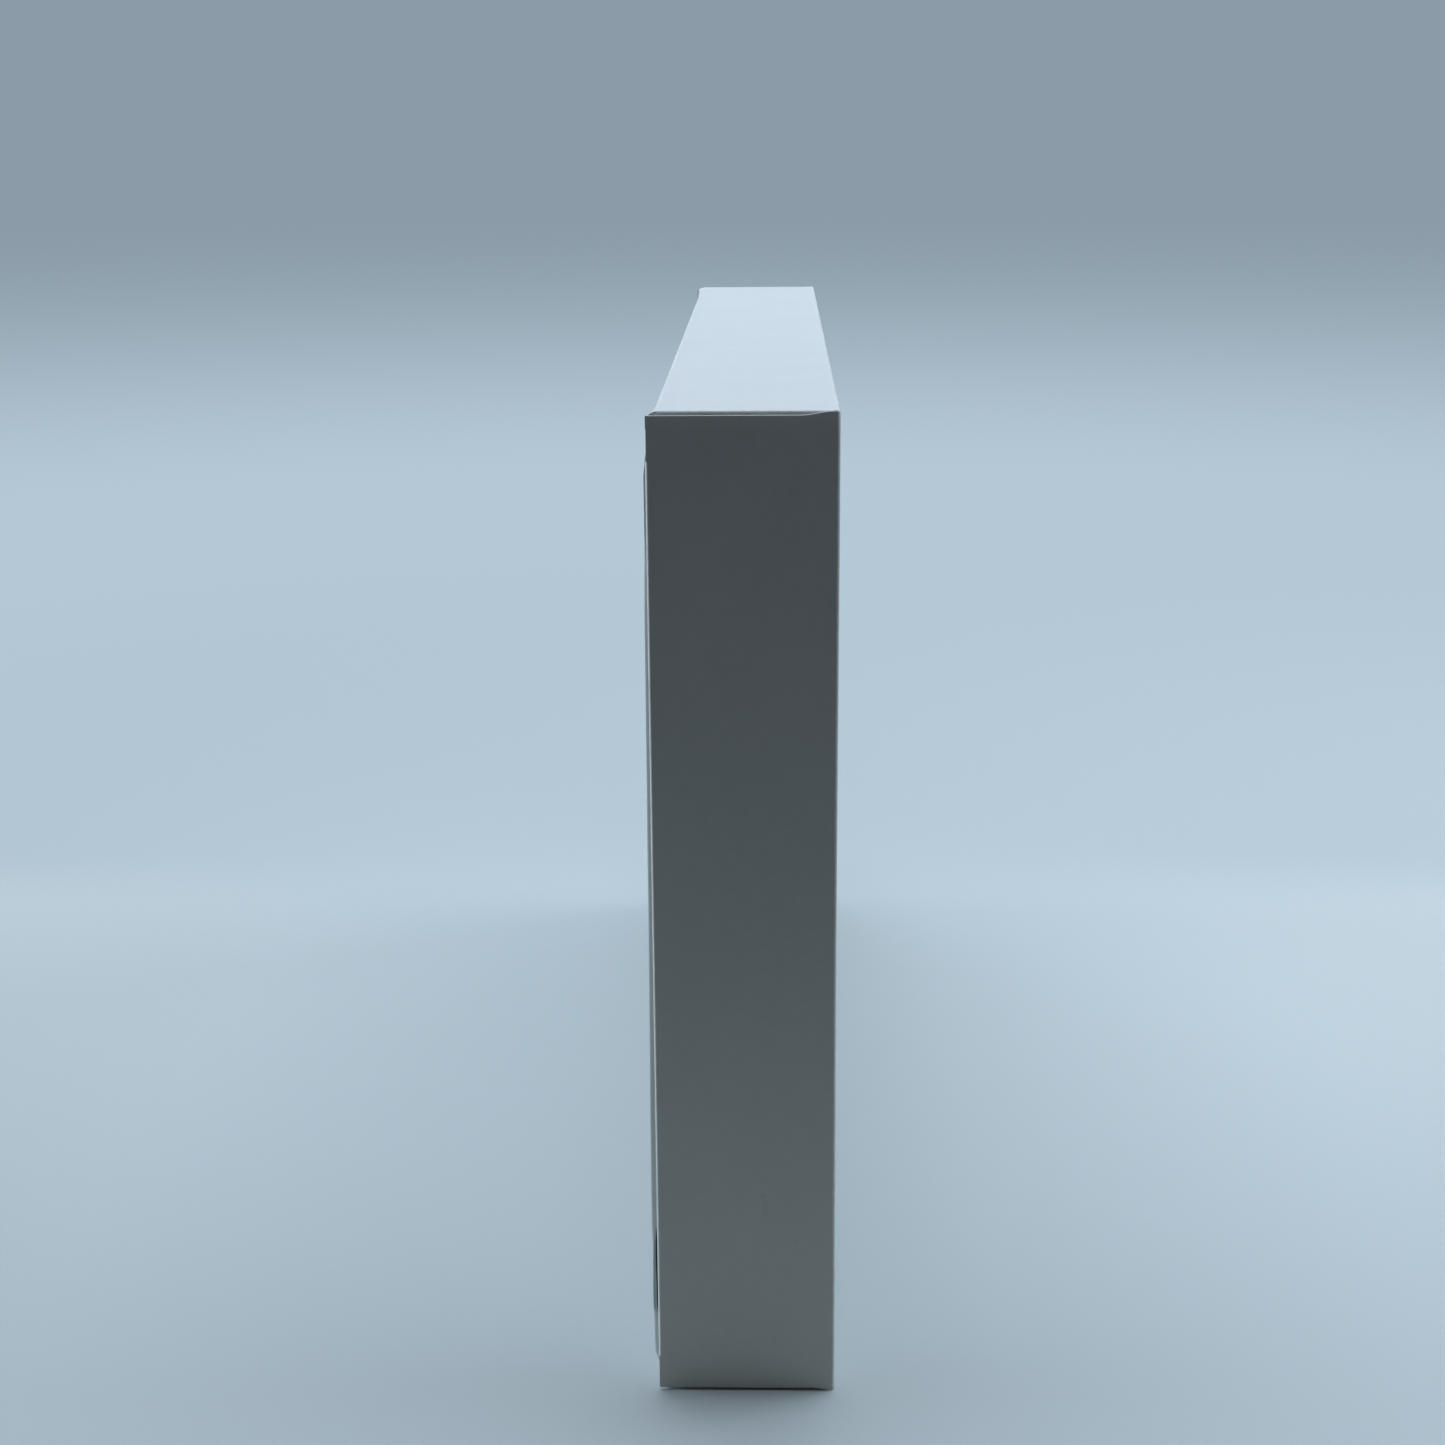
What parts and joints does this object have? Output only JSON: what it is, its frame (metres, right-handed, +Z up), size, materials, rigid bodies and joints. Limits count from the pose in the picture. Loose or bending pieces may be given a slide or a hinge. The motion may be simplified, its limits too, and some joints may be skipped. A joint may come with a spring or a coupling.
{
  "type": "board game carton",
  "caption": "Slim white paperboard tuck-end carton that stands on a long narrow side, with a hinged closure, tuck flap and dust flaps at each end.",
  "frame": {"origin": "middle of the carton's length and width, on the surface that it stands on", "axes": "+X across the thin way towards the back panel, which carries the closures; +Y along the length from the near end to the far end; +Z up"},
  "size_m": [0.031, 0.2484, 0.168],
  "materials": {
    "white_board_outside": "matt white clay-coated paperboard",
    "white_board_closure": "matt white clay-coated paperboard",
    "white_board_flap": "uncoated white board"
  },
  "bodies": {
    "carton_tube": {"front_panel": "white_board_outside", "back_panel": "white_board_outside", "top_side_panel": "white_board_outside", "bottom_side_panel": "white_board_outside", "glue_flap": "white_board_flap"},
    "near_closure": {"near_closure_panel": "white_board_closure"},
    "near_tuck": {"near_tuck_flap": "white_board_flap"},
    "near_upper_dust": {"near_upper_dust_flap": "white_board_flap"},
    "near_lower_dust": {"near_lower_dust_flap": "white_board_flap"},
    "far_closure": {"far_closure_panel": "white_board_closure"},
    "far_tuck": {"far_tuck_flap": "white_board_flap"},
    "far_upper_dust": {"far_upper_dust_flap": "white_board_flap"},
    "far_lower_dust": {"far_lower_dust_flap": "white_board_flap"}
  },
  "joints": [
    {"name": "near_closure_fold", "type": "hinge", "parent": "carton_tube", "child": "near_closure", "pos_m": [0.01526, -0.12401, 0.084], "axis": [0, 0, 1], "range_deg": [0, 180]},
    {"name": "near_tuck_fold", "type": "hinge", "parent": "near_closure", "child": "near_tuck", "pos_m": [-0.01422, -0.12401, 0.084], "axis": [0, 0, 1], "range_deg": [0, 45]},
    {"name": "near_upper_dust_fold", "type": "hinge", "parent": "carton_tube", "child": "near_upper_dust", "pos_m": [0.00102, -0.12308, 0.16758], "axis": [1, 0, 0], "range_deg": [0, 70]},
    {"name": "near_lower_dust_fold", "type": "hinge", "parent": "carton_tube", "child": "near_lower_dust", "pos_m": [0.00102, -0.12308, 0.00042], "axis": [-1, 0, 0], "range_deg": [0, 70]},
    {"name": "far_closure_fold", "type": "hinge", "parent": "carton_tube", "child": "far_closure", "pos_m": [0.01526, 0.12401, 0.084], "axis": [0, 0, -1], "range_deg": [0, 180]},
    {"name": "far_tuck_fold", "type": "hinge", "parent": "far_closure", "child": "far_tuck", "pos_m": [-0.01422, 0.12401, 0.084], "axis": [0, 0, -1], "range_deg": [0, 45]},
    {"name": "far_upper_dust_fold", "type": "hinge", "parent": "carton_tube", "child": "far_upper_dust", "pos_m": [0.00102, 0.12308, 0.16758], "axis": [-1, 0, 0], "range_deg": [0, 70]},
    {"name": "far_lower_dust_fold", "type": "hinge", "parent": "carton_tube", "child": "far_lower_dust", "pos_m": [0.00102, 0.12308, 0.00042], "axis": [1, 0, 0], "range_deg": [0, 70]}
  ],
  "couplings": [
    {"joint": "near_tuck_fold", "follows": "near_closure_fold", "ratio": 0.25},
    {"joint": "far_tuck_fold", "follows": "far_closure_fold", "ratio": 0.25}
  ]
}
